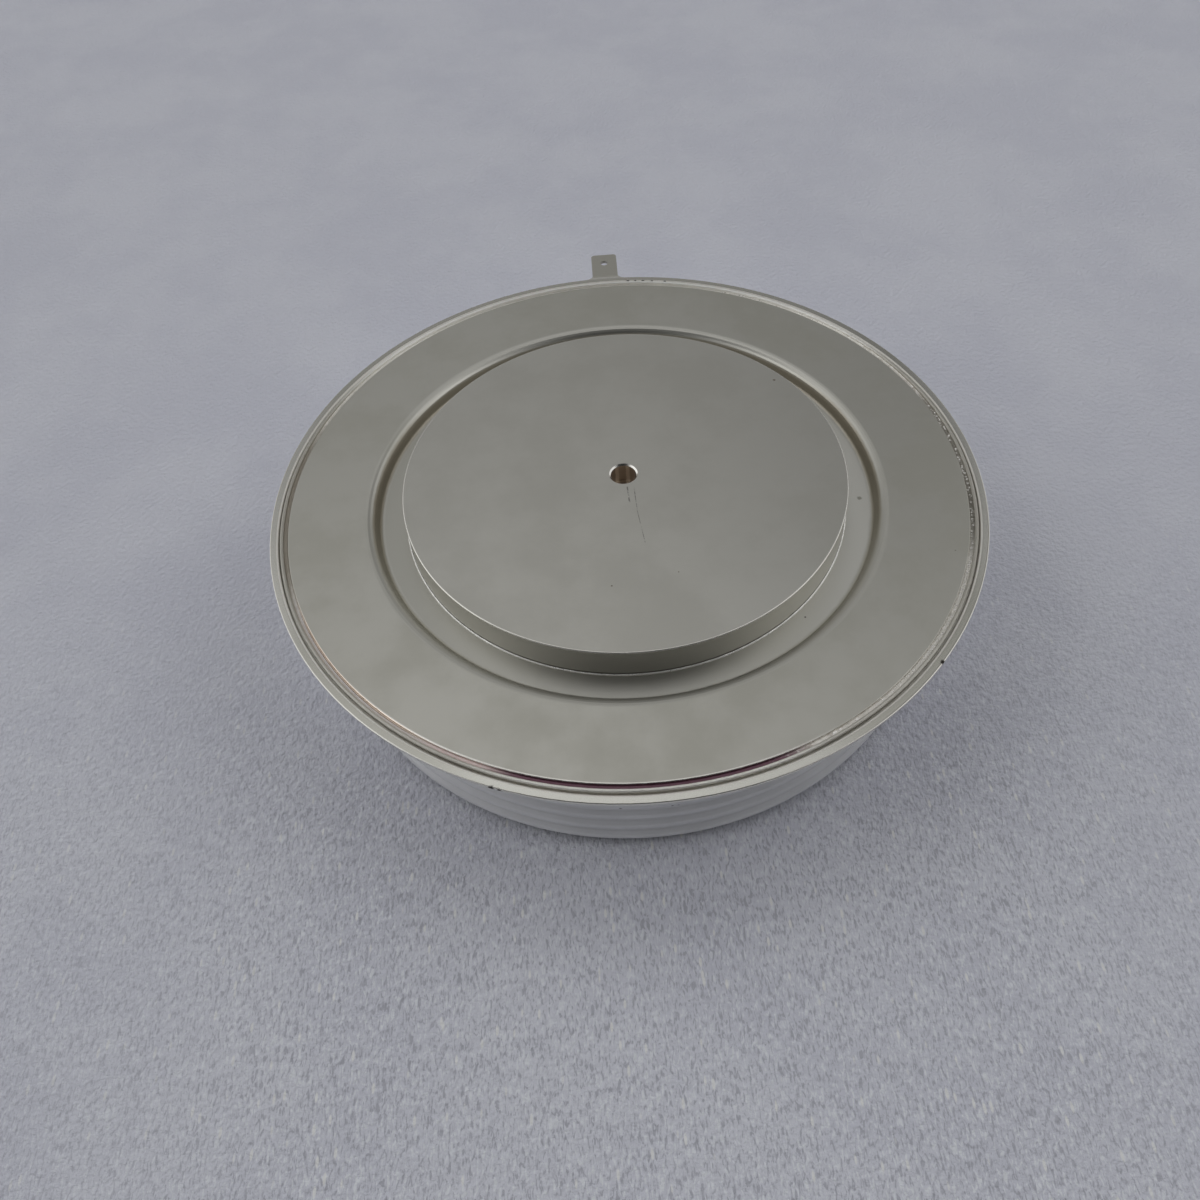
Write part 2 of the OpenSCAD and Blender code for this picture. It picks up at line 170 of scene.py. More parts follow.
# Where a point lies on a turned piece, in mm: its place, its radius and height, and how far it is across,
# to the right, and along, to the back
def makeTurnedPlace():
    outputs = [("Position", "Vector"), ("Radius", "Float"), ("Height", "Float"), ("Across", "Float"),
               ("Along", "Float")]
    tree, _, put = startGroup("turnedPlace", [], outputs)
    position = scaled(tree, addNode(tree, "TexCoord").outputs["Object"], 1 / mm)
    axes = addNode(tree, "SeparateXYZ", {0: position}).outputs
    squares = calc(tree, "ADD", calc(tree, "POWER", axes["X"], 2.0), calc(tree, "POWER", axes["Y"], 2.0))
    feed(tree, put["Position"], position)
    feed(tree, put["Radius"], calc(tree, "SQRT", squares))
    feed(tree, put["Height"], axes["Z"])
    feed(tree, put["Across"], axes["X"])
    feed(tree, put["Along"], axes["Y"])
    return tree


# Fine grain of a surface, and the soft clouds of its tone
def makeSurfaceGrain():
    inputs = [("Position", "Vector", None), ("Grain Size", "Float", 0.15), ("Cloud Size", "Float", 15.0)]
    tree, given, put = startGroup("surfaceGrain", inputs, [("Grain", "Float"), ("Cloud", "Float")])
    for label, size, detail, low, high in (("Grain", "Grain Size", 3.0, 0.3, 0.7),
                                           ("Cloud", "Cloud Size", 5.0, 0.36, 0.64)):
        fine = calc(tree, "DIVIDE", 1.0, given[size])
        texture = addNode(tree, "TexNoise", {"Vector": given["Position"], "Scale": fine, "Detail": detail,
                                             "Roughness": 0.6})
        feed(tree, put[label], ramp(tree, texture.outputs[0], low, high))
    return tree


# Faint rings that a lathe or a rolling tool leaves, as a height that changes with the radius
def makeTurningMarks():
    inputs = [("Radius", "Float", 0.0), ("Pitch", "Float", 0.3)]
    tree, given, put = startGroup("turningMarks", inputs, [("Marks", "Float")])
    across = calc(tree, "DIVIDE", given["Radius"], given["Pitch"])
    lines = addNode(tree, "TexNoise", {"W": across, "Scale": 1.0, "Detail": 2.0}, noise_dimensions="1D")
    feed(tree, put["Marks"], ramp(tree, lines.outputs[0], *groupLook["marksContrast"]))
    return tree


# A band between two measures, of a radius or of a height, with soft edges
def makeSoftBand():
    inputs = [("Measure", "Float", 0.0), ("From", "Float", 0.0), ("To", "Float", 1.0), ("Blur", "Float", 0.1)]
    tree, given, put = startGroup("softBand", inputs, [("Mask", "Float")])
    start = calc(tree, "SUBTRACT", given["From"], given["Blur"])
    rising = ramp(tree, given["Measure"], start, given["From"])
    end = calc(tree, "ADD", given["To"], given["Blur"])
    falling = ramp(tree, given["Measure"], given["To"], end, 1.0, 0.0)
    feed(tree, put["Mask"], calc(tree, "MULTIPLY", rising, falling))
    return tree


# The same band with ragged edges
def makeRaggedBand():
    inputs = [("Measure", "Float", 0.0), ("Position", "Vector", None), ("From", "Float", 0.0),
              ("To", "Float", 1.0), ("Blur", "Float", 0.1), ("Ragged", "Float", 0.0), ("Tooth", "Float", 0.5)]
    tree, given, put = startGroup("raggedBand", inputs, [("Mask", "Float")])
    fine = calc(tree, "DIVIDE", 1.0, given["Tooth"])
    teeth = addNode(tree, "TexNoise", {"Vector": given["Position"], "Scale": fine, "Detail": 2.0}).outputs[0]
    shift = calc(tree, "MULTIPLY", calc(tree, "SUBTRACT", teeth, noiseMiddle), given["Ragged"])
    shifted = calc(tree, "ADD", given["Measure"], shift)
    plain = useGroup(tree, softBand, {"Measure": shifted, "From": given["From"], "To": given["To"],
                                      "Blur": given["Blur"]})
    feed(tree, put["Mask"], plain["Mask"])
    return tree


# A fine broken scratch between two points
def makeScratch():
    inputs = [("Position", "Vector", None), ("From", "Vector", None), ("To", "Vector", None),
              ("Width", "Float", 0.1), ("Wander", "Float", 0.5)]
    tree, given, put = startGroup("scratch", inputs, [("Mask", "Float")])
    reach = vectorCalc(tree, "SUBTRACT", given["To"], given["From"])
    start = vectorCalc(tree, "SUBTRACT", given["Position"], given["From"])
    share = calc(tree, "DIVIDE", vectorCalc(tree, "DOT_PRODUCT", start, reach),
                 vectorCalc(tree, "DOT_PRODUCT", reach, reach))
    nearest = scaled(tree, reach, addNode(tree, "Clamp", {0: share}).outputs[0])
    away = vectorCalc(tree, "DISTANCE", start, nearest)
    broken = ramp(tree, given["Wander"], *groupLook["scratchShows"])
    core = calc(tree, "MULTIPLY", given["Width"], groupLook["coreShare"])
    line = ramp(tree, away, core, given["Width"], 1.0, 0.0)
    feed(tree, put["Mask"], calc(tree, "MULTIPLY", line, broken))
    return tree


# One spot with an uneven edge, full over the inner part of its size
def makeSpot():
    inputs = [("Position", "Vector", None), ("Centre", "Vector", None), ("Size", "Float", 0.5),
              ("Edge", "Float", 0.5)]
    tree, given, put = startGroup("spot", inputs, [("Mask", "Float")])
    away = vectorCalc(tree, "DISTANCE", given["Position"], given["Centre"])
    uneven = calc(tree, "MULTIPLY", away, calc(tree, "ADD", given["Edge"], 1 - noiseMiddle))
    core = calc(tree, "MULTIPLY", given["Size"], groupLook["coreShare"])
    feed(tree, put["Mask"], ramp(tree, uneven, core, given["Size"], 1.0, 0.0))
    return tree


# Small specks strewn over a surface, in a share of the cells that the spacing gives
def makeSpecks():
    inputs = [("Position", "Vector", None), ("Spacing", "Float", 6.0), ("Size", "Float", 0.1),
              ("Share", "Float", 0.3)]
    tree, given, put = startGroup("specks", inputs, [("Mask", "Float")])
    cells = addNode(tree, "TexVoronoi", {"Vector": given["Position"],
                                         "Scale": calc(tree, "DIVIDE", 1.0, given["Spacing"])})
    away = calc(tree, "MULTIPLY", cells.outputs["Distance"], given["Spacing"])
    chosen = calc(tree, "LESS_THAN", addNode(tree, "SeparateXYZ", {0: cells.outputs["Color"]}).outputs["X"],
                  given["Share"])
    core = calc(tree, "MULTIPLY", given["Size"], groupLook["speckCoreShare"])
    dot = ramp(tree, away, core, given["Size"], 1.0, 0.0)
    feed(tree, put["Mask"], calc(tree, "MULTIPLY", dot, chosen))
    return tree


turnedPlace = makeTurnedPlace()
surfaceGrain = makeSurfaceGrain()
turningMarks = makeTurningMarks()
softBand = makeSoftBand()
raggedBand = makeRaggedBand()
scratch = makeScratch()
spot = makeSpot()
specks = makeSpecks()
print("shader groups made")


# A finish is started from a piece's look, layered, and closed onto its shader
def startFinish(name, look):
    material = bpy.data.materials.new(name)
    material.use_nodes = True
    tree = material.node_tree
    shader = tree.nodes["Principled BSDF"]
    shader.inputs["Metallic"].default_value = look.get("metallic", 1.0)
    shader.inputs["Coat Weight"].default_value = look.get("glaze", 0.0)
    shader.inputs["Coat Roughness"].default_value = look.get("glazeRoughness", 0.1)
    place = useGroup(tree, turnedPlace)
    grain = useGroup(tree, surfaceGrain, {"Position": place["Position"], "Grain Size": look["grainSize"],
                                          "Cloud Size": look["cloudSize"]})
    color = mixColor(tree, grain["Cloud"], look["clean"], look["clouded"])
    smooth, rough = look["roughness"]
    # Grain and clouds have an equal part in the roughness
    blend = calc(tree, "ADD", calc(tree, "MULTIPLY", grain["Grain"], 0.5),
                 calc(tree, "MULTIPLY", grain["Cloud"], 0.5))
    return {
        "material": material,
        "tree": tree,
        "shader": shader,
        "place": place,
        "grain": grain,
        "color": color,
        "roughness": mixValue(tree, blend, smooth, rough),
        "height": calc(tree, "MULTIPLY", grain["Grain"], look["grainDepth"]),
    }


def layer(finish, mask, color=None, roughness=None, height=None):
    tree = finish["tree"]
    if color is not None:
        finish["color"] = mixColor(tree, mask, finish["color"], color)
    if roughness is not None:
        finish["roughness"] = mixValue(tree, mask, finish["roughness"], roughness)
    if height is not None:
        finish["height"] = calc(tree, "ADD", finish["height"], calc(tree, "MULTIPLY", mask, height))


# A band's edge is its blur and, where it is ragged, by how much and the size of its teeth, in mm
def bandMask(finish, measure, low, high, blur, ragged=0.0, tooth=0.5):
    place = finish["place"]
    settings = {"Measure": place[measure], "From": low, "To": high, "Blur": blur}
    if ragged == 0:
        return useGroup(finish["tree"], softBand, settings)["Mask"]
    settings.update({"Position": place["Position"], "Ragged": ragged, "Tooth": tooth})
    return useGroup(finish["tree"], raggedBand, settings)["Mask"]


# A ring that lies from and to so far out from a radius of the part
def ringMask(finish, radius, out, edge):
    low, high = out
    return bandMask(finish, "Radius", radius + low, radius + high, *edge)


def both(finish, first, second):
    return calc(finish["tree"], "MULTIPLY", first, second)


# How far a point lies to one side of the part, from none at one measure to all at another. In the looks
# of the pieces below, a pair named Across, Along or From gives these two in mm
def sideMask(finish, measure, none, full):
    value = finish["place"][measure]
    if none > full:
        return ramp(finish["tree"], value, full, none, 1.0, 0.0)
    return ramp(finish["tree"], value, none, full)


def marksMask(finish, pitch):
    return useGroup(finish["tree"], turningMarks, {"Radius": finish["place"]["Radius"],
                                                   "Pitch": pitch})["Marks"]


def addTurning(finish, look):
    layer(finish, marksMask(finish, look["turningPitch"]), height=look["turningDepth"])


def speckMask(finish, look, name, position):
    return useGroup(finish["tree"], specks, {
        "Position": position, "Spacing": look[name + "Spacing"], "Size": look[name + "Size"],
        "Share": look[name + "Share"]})["Mask"]


# Dirt: dull specks and spots, the spots a little sunk
dirtLook = {
    "roughness": 0.6,
    "spotDepth": 0.01,
    "edgeScale": 4.0,
}


def addSpecks(finish, look):
    mask = speckMask(finish, look, "speck", finish["place"]["Position"])
    layer(finish, mask, look["speckColor"], dirtLook["roughness"])


def addSpots(finish, spots, color):
    position = finish["place"]["Position"]
    edge = addNode(finish["tree"], "TexNoise", {"Vector": position,
                                                "Scale": dirtLook["edgeScale"]}).outputs[0]
    for centre, size in spots:
        mask = useGroup(finish["tree"], spot, {"Position": position, "Centre": centre, "Size": size,
                                               "Edge": edge})["Mask"]
        layer(finish, mask, color, dirtLook["roughness"], -dirtLook["spotDepth"])


def closeFinish(finish):
    tree = finish["tree"]
    bump = addNode(tree, "Bump", {"Distance": mm, "Height": finish["height"]})
    feed(tree, finish["shader"].inputs["Base Color"], finish["color"])
    feed(tree, finish["shader"].inputs["Roughness"], finish["roughness"])
    feed(tree, finish["shader"].inputs["Normal"], bump.outputs["Normal"])
    return finish["material"]


def dress(node, material):
    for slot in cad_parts[node].material_slots:
        slot.material = material


onAxis = -1.0      # a band that starts here has no inner edge

# Poles: turned copper under a satin nickel plate
poleLook = {
    "clean": (0.535, 0.522, 0.477),
    "clouded": (0.49, 0.477, 0.432),
    "roughness": (0.30, 0.38),
    "grainSize": 0.18,
    "grainDepth": 0.003,
    "cloudSize": 17.0,
    "turningPitch": 0.4,
    "turningDepth": 0.0012,
    "speckSpacing": 7.0,
    "speckSize": 0.12,
    "speckShare": 0.12,
    "speckColor": (0.20, 0.18, 0.15),
    "spotColor": (0.22, 0.19, 0.15),
    "spots": [((26.5, 19.5, poleTop), 0.3), ((6.7, -20.8, poleTop), 0.13), ((-3.1, -22.5, poleTop), 0.17)],
}
boreLook = {
    "radius": 2.05,
    "depth": (0.3, 20.0),           # from and to, behind the face
    "blur": 0.05,
    "color": (0.60, 0.52, 0.44),
    "roughness": 0.50,
    # The streaks are painted reflections: two lighter stripes down the bore's wall
    "streakColor": (0.86, 0.78, 0.68),
    "streaks": (-0.95, 0.75),       # across from the middle
    "streakWidth": 0.36,
    "streakEdge": (0.2, 0.3, 0.8),
    # The chamfer's light colour is a painted highlight
    "chamferTo": 2.32,
    "chamferDepth": (0.03, 2.0),
    "chamferBlur": 0.02,
    "chamferColor": (0.86, 0.84, 0.79),
    "chamferRoughness": 0.22,
}
poleWallLook = {
    "depth": (0.25, 6.0),
    "out": (-0.05, 0.5),            # from and to, past the pole's reach
    "radiusEdge": (0.03,),
    "heightBlur": 0.05,
    "color": (0.62, 0.608, 0.56),
    # The foot's colour is a painted shadow: a dark line on the pole's wall just above the braze fillet
    "footFrom": 0.24,
    "footTo": 0.38,
    "footEdge": (0.08, 0.08, 2.0),
    "footColor": (0.24, 0.225, 0.19),
}
# Pole edge: a painted highlight, a light smooth line round the top edge of each pole
poleEdgeLook = {
    "out": (-0.16, 0.1),
    "radiusEdge": (0.04, 0.04),
    "height": 0.2,
    "heightBlur": 0.05,
    "color": (0.80, 0.78, 0.72),
    "roughness": 0.24,
}
scratchLook = {
    "color": (0.27, 0.26, 0.24),
    "roughness": 0.5,
    "depth": 0.004,
    "wanderScale": 1.6,
    "lines": [((0.4, -3.0), (0.55, -6.2), 0.16), ((1.45, -3.3), (1.6, -8.2), 0.10),
              ((1.6, -8.2), (2.3, -14.6), 0.07)],      # from, to and width
}


# The lower and the upper height between two depths behind a pole's face
def depthBand(faceHeight, outward, near, far):
    return sorted((faceHeight - outward * near, faceHeight - outward * far))


def makePoleFinish(name, faceHeight, outward):
    finish = startFinish(name, poleLook)
    addTurning(finish, poleLook)
    addSpecks(finish, poleLook)
    # A painted highlight on the chamfer round the bore's mouth
    chamferHeights = depthBand(faceHeight, outward, *boreLook["chamferDepth"])
    mouth = both(finish, bandMask(finish, "Radius", onAxis, boreLook["chamferTo"], boreLook["blur"]),
                 bandMask(finish, "Height", *chamferHeights, boreLook["chamferBlur"]))
    layer(finish, mouth, boreLook["chamferColor"], boreLook["chamferRoughness"])
    boreHeights = depthBand(faceHeight, outward, *boreLook["depth"])
    inBore = both(finish, bandMask(finish, "Radius", onAxis, boreLook["radius"], boreLook["blur"]),
                  bandMask(finish, "Height", *boreHeights, boreLook["blur"]))
    layer(finish, inBore, boreLook["color"], boreLook["roughness"])
    # Two painted reflections: lighter stripes down the bore's wall
    for middle in boreLook["streaks"]:
        half = boreLook["streakWidth"] / 2
        streak = bandMask(finish, "Across", middle - half, middle + half, *boreLook["streakEdge"])
        layer(finish, both(finish, inBore, streak), boreLook["streakColor"])
    wallHeights = depthBand(faceHeight, outward, *poleWallLook["depth"])
    onWall = both(finish, ringMask(finish, poleReach, poleWallLook["out"], poleWallLook["radiusEdge"]),
                  bandMask(finish, "Height", *wallHeights, poleWallLook["heightBlur"]))
    layer(finish, onWall, poleWallLook["color"])
    if outward > 0:
        # A painted shadow: a dark line round the foot of the cathode pole's wall
        foot = bandMask(finish, "Height", panFloor + poleWallLook["footFrom"],
                        panFloor + poleWallLook["footTo"], *poleWallLook["footEdge"])
        layer(finish, both(finish, onWall, foot), poleWallLook["footColor"])
    # A painted highlight round the pole's top edge
    height = poleEdgeLook["height"]
    poleEdge = both(finish, ringMask(finish, poleReach, poleEdgeLook["out"], poleEdgeLook["radiusEdge"]),
                    bandMask(finish, "Height", faceHeight - height, faceHeight + height,
                             poleEdgeLook["heightBlur"]))
    layer(finish, poleEdge, poleEdgeLook["color"], poleEdgeLook["roughness"])
    return finish


def dressPoles():
    finish = makePoleFinish("cathodePoleNickel", poleTop, 1)
    position = finish["place"]["Position"]
    wander = addNode(finish["tree"], "TexNoise", {"Vector": position,
                                                  "Scale": scratchLook["wanderScale"]}).outputs[0]
    for start, end, width in scratchLook["lines"]:
        mask = useGroup(finish["tree"], scratch, {
            "Position": position, "From": (*start, poleTop), "To": (*end, poleTop), "Width": width,
            "Wander": wander})["Mask"]
        layer(finish, mask, scratchLook["color"], scratchLook["roughness"], -scratchLook["depth"])
    addSpots(finish, poleLook["spots"], poleLook["spotColor"])
    dress("cathode_pole", closeFinish(finish))
    dress("anode_pole", closeFinish(makePoleFinish("anodePoleNickel", 0.0, -1)))


# The left of the front, where the band's inner edge shows bare copper, painted bright there as a highlight
def warmSide(finish):
    return both(finish, sideMask(finish, "Across", *weldLook["warmAcross"]),
                sideMask(finish, "Along", *weldLook["warmAlong"]))


# Lid: satin sheet, duller in its pan, with a painted highlight on its lip at the front, the pressed band and
# a granular bead; its pan, fold, shoulder and bead carry painted light and shade on some sides
lidLook = {
    "clean": (0.535, 0.522, 0.472),
    "clouded": (0.482, 0.469, 0.415),
    "roughness": (0.31, 0.40),
    "grainSize": 0.16,
    "grainDepth": 0.003,
    "cloudSize": 15.0,
    "turningPitch": 0.6,
    "turningDepth": 0.0008,
    "speckSpacing": 8.0,
    "speckSize": 0.12,
    "speckShare": 0.15,
    "speckColor": (0.20, 0.18, 0.15),
    "spotColor": (0.16, 0.145, 0.13),
    "dullSpots": [((36.8, -4.0, panFloor), 0.5)],
    "dullColor": (0.40, 0.388, 0.34),
    "spots": [((24.5, -26.7, panFloor), 0.2), ((24.6, -30.6, 24.1), 0.26), ((21.6, -32.6, 24.1), 0.2)],
}
panLook = {
    "radius": 38.2,
    "edge": (0.5, 0.3, 2.0),
    "color": (0.57, 0.558, 0.508),
    "roughness": 0.45,
    # The pan's right and left tones are painted light and shade: lighter on the right, darker on the left
    "rightColor": (0.65, 0.637, 0.587),
    "rightFrom": (20, 36),
    "leftColor": (0.51, 0.499, 0.45),
    "leftFrom": (-20, -36),
}
foldLook = {
    "radius": 38.9,
    "width": 0.85,
    "edge": (0.4, 0.3, 2.5),
    # The fold's colour is a painted shade: a dark line in the fold, from the middle to the back
    "color": (0.40, 0.365, 0.30),
    "from": (-27.0, 3.0),
    "shoulderTo": 41.2,
    "shoulderBlur": 0.2,
    "shoulderFrom": (-5.0, -25.0),
    "shoulderColor": (0.535, 0.522, 0.472),
    "shoulderRoughness": 0.5,
    # At the back the shoulder's lighter colour is a painted highlight
    "backFrom": (12.0, 30.0),
    "backColor": (0.56, 0.547, 0.497),
    "backRoughness": 0.33,
}
beadLook = {
    "width": 0.6,
    "inward": 0.1,
    "outward": 1.0,      # past the lid's edge, so that the bead has no outer fade
    "edge": (0.05, 0.1, 0.3),
    "color": (0.60, 0.58, 0.52),
    # Each side of it: which way it lies, where its own tone is gone and full, and the tone; these tones are
    # painted light and shade, darker at the left and right, lighter at the front and back
    "sides": [("Across", 38, 50, (0.46, 0.44, 0.39)), ("Across", -38, -50, (0.46, 0.44, 0.39)),
              ("Along", -47.5, -52.5, (0.97, 0.95, 0.88)), ("Along", 22, 42, (0.98, 0.96, 0.91))],
    "roughness": 0.32,
    "grainDepth": 0.03,
    "wallOut": 0.05,
    "wallEdge": (0.04, 0.06, 0.5),
    "wallRoughness": 0.5,
    # The lip's colour is a painted highlight along the band's inner edge at the front
    "lipColor": (0.95, 0.93, 0.87),
    "lipRoughness": 0.18,
    "lipInward": 0.1,
    "lipWidth": 0.28,
    "lipDrop": 0.011,
    "lipAcross": (28, 14),
    "lipAlong": (-30, -42),
    # The warm lip is bare copper at the left of the front, painted bright there as a highlight
    "warmLipColor": (1.0, 0.84, 0.72),
    "warmLipOut": 0.02,
    "warmLipBlur": 0.05,
}
bandLook = {
    "width": 0.6,
    "edge": (0.04, 0.12, 0.35),
    "color": (0.34, 0.22, 0.20),
    "roughness": 0.45,
}


def dressLid():
    finish = startFinish("lidNickel", lidLook)
    addTurning(finish, lidLook)
    addSpecks(finish, lidLook)
    beadFrom = lidReach - beadLook["width"]
    bandFrom = beadFrom - bandLook["width"]
    bandTo = beadFrom - beadLook["inward"]
    pan = bandMask(finish, "Radius", 0.0, panLook["radius"], *panLook["edge"])
    layer(finish, pan, panLook["color"], panLook["roughness"])
    # Painted light on the right of the pan and painted shade on its left
    for side in ("right", "left"):
        layer(finish, both(finish, pan, sideMask(finish, "Across", *panLook[side + "From"])),
              panLook[side + "Color"])
    foldTo = foldLook["radius"] + foldLook["width"]
    # A painted shade in the fold, from the middle to the back
    fold = bandMask(finish, "Radius", foldLook["radius"], foldTo, *foldLook["edge"])
    layer(finish, both(finish, fold, sideMask(finish, "Along", *foldLook["from"])), foldLook["color"])
    shoulder = bandMask(finish, "Radius", foldTo, foldLook["shoulderTo"], foldLook["shoulderBlur"])
    # At the front the shoulder only turns rougher, in the plain tone; at the back its lighter colour is a
    # painted highlight
    for name in ("shoulder", "back"):
        layer(finish, both(finish, shoulder, sideMask(finish, "Along", *foldLook[name + "From"])),
              foldLook[name + "Color"], foldLook[name + "Roughness"])
    # A painted highlight on the lip at the front
    lip = bandMask(finish, "Radius", bandFrom - beadLook["lipInward"], bandFrom, beadLook["lipWidth"])
    lipHighlight = both(finish, sideMask(finish, "Across", *beadLook["lipAcross"]),
                     sideMask(finish, "Along", *beadLook["lipAlong"]))
    layer(finish, both(finish, lip, lipHighlight), beadLook["lipColor"], beadLook["lipRoughness"],
          -beadLook["lipDrop"])
    bead = bandMask(finish, "Radius", bandTo, lidReach + beadLook["outward"], *beadLook["edge"])
    layer(finish, bead, beadLook["color"], beadLook["roughness"])
    # Painted shade on the bead at the left and right, painted highlights at the front and back
    for way, none, full, color in beadLook["sides"]:
        layer(finish, both(finish, bead, sideMask(finish, way, none, full)), color)
    layer(finish, both(finish, bead, finish["grain"]["Grain"]), height=beadLook["grainDepth"])
    # Bare copper at the left of the front, with a painted highlight
    warmLip = bandMask(finish, "Radius", bandFrom - beadLook["lipInward"], bandFrom + beadLook["warmLipOut"],
                       beadLook["warmLipBlur"])
    layer(finish, both(finish, warmLip, warmSide(finish)), beadLook["warmLipColor"], beadLook["lipRoughness"])
    # At the front the bead's inner wall is dark purple: partly tarnish, partly a painted shade
    innerWall = bandMask(finish, "Radius", bandTo, beadFrom + beadLook["wallOut"], *beadLook["wallEdge"])
    layer(finish, both(finish, innerWall, sideMask(finish, "Along", *weldLook["frontFrom"])),
          weldLook["frontColor"], beadLook["wallRoughness"])
    band = bandMask(finish, "Radius", bandFrom, bandTo, *bandLook["edge"])
    layer(finish, band, bandLook["color"], bandLook["roughness"])
    addSpots(finish, lidLook["spots"], lidLook["spotColor"])
    addSpots(finish, lidLook["dullSpots"], lidLook["dullColor"])
    dress("cathode_lid", closeFinish(finish))


# The way out from the axis at each step of the turn
def turnedWays(steps):
    for step in range(steps):
        turn = 2 * math.pi * step / steps
        yield Vector((math.cos(turn), math.sin(turn), 0))


# A thin skin right round the part: a ring of points at each step of the turn, joined by faces
def makeSkin(name, rings, facesUp):
    across = len(rings[0])
    faces = []
    for step in range(len(rings)):
        here = step * across
        there = (step + 1) % len(rings) * across
        for row in range(across - 1):
            face = (here + row, there + row, there + row + 1, here + row + 1)
            faces.append(face if facesUp else (face[0], *reversed(face[1:])))
    mesh = bpy.data.meshes.new(name)
    mesh.from_pydata([point * mm for ring in rings for point in ring], [], faces)
    mesh.polygons.foreach_set("use_smooth", [True] * len(faces))
    mesh.update()
    piece = bpy.data.objects.new(name, mesh)
    scene.collection.objects.link(piece)
    return piece


# Weld grain: the rough bare metal left in the pressed band
weldLook = {
    "steps": 2400,                  # of the turn
    "coarse": 0.9,
    "fine": 0.22,
    "coarseRise": 0.03,
    "fineRise": 0.045,
    "leanShare": 0.6,
    "clean": (0.92, 0.89, 0.83),
    "clouded": (0.70, 0.66, 0.60),
    "roughness": (0.34, 0.55),
    "grainSize": 0.12,
    "grainDepth": 0.02,
    "cloudSize": 1.2,
    # The front's colour is partly the copper's purple tarnish and partly a painted shade
    "frontColor": (0.22, 0.12, 0.15),
    "frontFrom": (-48.5, -50.8),
    # The back's colour is a painted highlight
    "backColor": (0.95, 0.93, 0.87),
    "backFrom": (15, 40),
    "copperPitch": 0.13,
    "copperColor": (0.63, 0.59, 0.57),
    "paleCopper": (0.86, 0.82, 0.79),
    "paleRoughness": 0.3,
    "paleRise": 0.02,
    "copperAcross": (-8, -20),
    "copperAlong": (-14, -28),
    # The warm edge is bare copper at the left of the front, painted bright there as a highlight
    "warmColor": (1.0, 0.86, 0.72),
    "warmAcross": (-27, -34),
    "warmAlong": (-16, -26),
    "warmOut": (-0.2, 0.12),        # from and to, past the band's inner edge
    "warmRoughness": 0.22,
    "pinkColor": (0.84, 0.62, 0.58),
    "pinkAcross": (-32, -27),
    # The right and left tones are painted shade at the sides
    "rightColor": (0.34, 0.32, 0.28),
    "rightFrom": (49, 52.5),
    "leftColor": (0.42, 0.38, 0.32),
    "leftFrom": (-49, -52.5),
    # The bright tone is a painted highlight at the right of the front
    "brightColor": (0.94, 0.91, 0.85),
    "brightRoughness": 0.3,
    "brightRise": 0.03,
    "brightAcross": (20, 38),
    "brightAlong": (2, -8),
    "darkLineColor": (0.26, 0.18, 0.15),
    "darkLineOut": (0.15, 0.20),
    "lineEdge": (0.05, 0.06, 0.6),
    # The flecks are painted glints, on the right only
    "fleckColor": (1.0, 0.98, 0.94),
    "fleckRoughness": 0.18,
    "fleckSize": 0.22,
    "fleckSpacing": 0.42,
    "fleckShare": 0.7,
    "fleckAcross": (14, 26),
}
# Section of the grain across the band: distance out from the band's inner edge, and height
grainSection = [(-0.07, -0.05), (-0.01, -0.10), (0.03, -0.20), (0.07, -0.30), (0.18, -0.32), (0.30, -0.31),
                (0.42, -0.32), (0.54, -0.31), (0.58, -0.24), (0.62, -0.15), (0.68, -0.09)]


def dressWeldGrain(bandFrom):
    finish = startFinish("bareWeldCopper", weldLook)
    copper = both(finish, sideMask(finish, "Across", *weldLook["copperAcross"]),
                  sideMask(finish, "Along", *weldLook["copperAlong"]))
    layer(finish, copper, weldLook["copperColor"])
    lines = marksMask(finish, weldLook["copperPitch"])
    layer(finish, both(finish, copper, lines), weldLook["paleCopper"], weldLook["paleRoughness"],
          weldLook["paleRise"])
    pink = both(finish, copper, sideMask(finish, "Across", *weldLook["pinkAcross"]))
    layer(finish, both(finish, pink, finish["grain"]["Grain"]), weldLook["pinkColor"])
    # Bare copper along the band's inner edge at the left of the front, with a painted highlight
    warm = ringMask(finish, bandFrom, weldLook["warmOut"], weldLook["lineEdge"])
    layer(finish, both(finish, warm, warmSide(finish)), weldLook["warmColor"], weldLook["warmRoughness"])
    # A painted highlight on the grain at the back
    layer(finish, sideMask(finish, "Along", *weldLook["backFrom"]), weldLook["backColor"])
    darkLine = ringMask(finish, bandFrom, weldLook["darkLineOut"], weldLook["lineEdge"])
    layer(finish, both(finish, warmSide(finish), darkLine), weldLook["darkLineColor"])
    # A painted highlight on the grain at the right of the front
    bright = both(finish, sideMask(finish, "Across", *weldLook["brightAcross"]),
                  sideMask(finish, "Along", *weldLook["brightAlong"]))
    layer(finish, bright, weldLook["brightColor"], weldLook["brightRoughness"])
    layer(finish, both(finish, bright, finish["grain"]["Grain"]), height=weldLook["brightRise"])
    # Painted shade on the grain at the right and left
    for side in ("right", "left"):
        layer(finish, sideMask(finish, "Across", *weldLook[side + "From"]), weldLook[side + "Color"])
    # Dark purple at the front: partly tarnish, partly a painted shade
    layer(finish, sideMask(finish, "Along", *weldLook["frontFrom"]), weldLook["frontColor"])
    # Painted glints on the right of the grain
    flecks = speckMask(finish, weldLook, "fleck", finish["place"]["Position"])
    fleckSide = sideMask(finish, "Across", *weldLook["fleckAcross"])
    layer(finish, both(finish, flecks, fleckSide), weldLook["fleckColor"], weldLook["fleckRoughness"])
    return closeFinish(finish)


